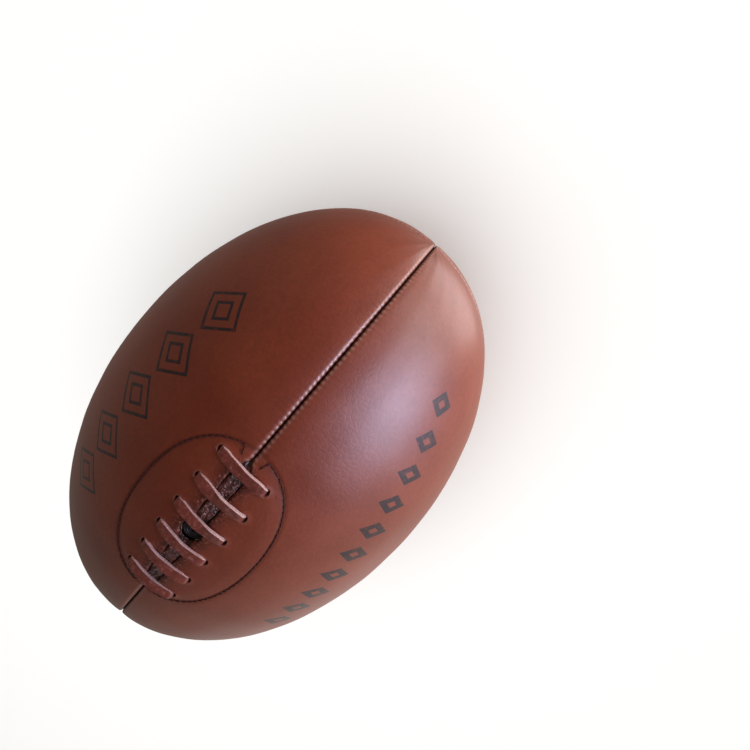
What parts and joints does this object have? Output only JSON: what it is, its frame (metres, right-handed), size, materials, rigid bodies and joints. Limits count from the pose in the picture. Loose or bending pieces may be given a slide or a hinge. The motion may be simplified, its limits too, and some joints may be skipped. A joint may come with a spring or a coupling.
{
  "type": "rugby ball",
  "caption": "Laced leather rugby ball in four sewn panels, with cloth lining, slit facings, tongue, flat lace, rubber bladder and a pull-out valve plug with a needle hole.",
  "frame": {"origin": "centre of the ball, on its long axis and midway between the two points", "axes": "+X along the long axis, +Z out through the middle of the laced seam and the valve, +Y to the left of the lace when looking along +X from above"},
  "size_m": [0.288, 0.191, 0.1933],
  "materials": {
    "panel_leather": "satin",
    "lining_cloth": "matte",
    "facing_leather": "matte",
    "tongue_leather": "satin",
    "lace_leather": "satin",
    "seam_thread": "matte",
    "stitch_thread": "matte",
    "bladder_rubber": "matte",
    "valve_rubber": "satin",
    "plug_rubber": "satin"
  },
  "bodies": {
    "ball": {"panel_lace_left": "panel_leather", "panel_lace_right": "panel_leather", "panel_back_left": "panel_leather", "panel_back_right": "panel_leather", "lining_lace_left": "lining_cloth", "lining_lace_right": "lining_cloth", "lining_back_left": "lining_cloth", "lining_back_right": "lining_cloth", "facing_left": "facing_leather", "facing_right": "facing_leather", "tongue": "tongue_leather", "lace": "lace_leather", "seam_thread_front": "seam_thread", "seam_thread_rear": "seam_thread", "seam_thread_left": "seam_thread", "seam_thread_right": "seam_thread", "seam_thread_bottom": "seam_thread", "facing_stitch_left": "stitch_thread", "facing_stitch_right": "stitch_thread", "bladder": "bladder_rubber", "valve_body": "valve_rubber"},
    "plug": {"valve_plug": "plug_rubber"}
  },
  "joints": [
    {"name": "plug_pull", "type": "slide", "parent": "ball", "child": "plug", "axis": [0, 0, 1], "range_m": [0, 0.022]}
  ]
}
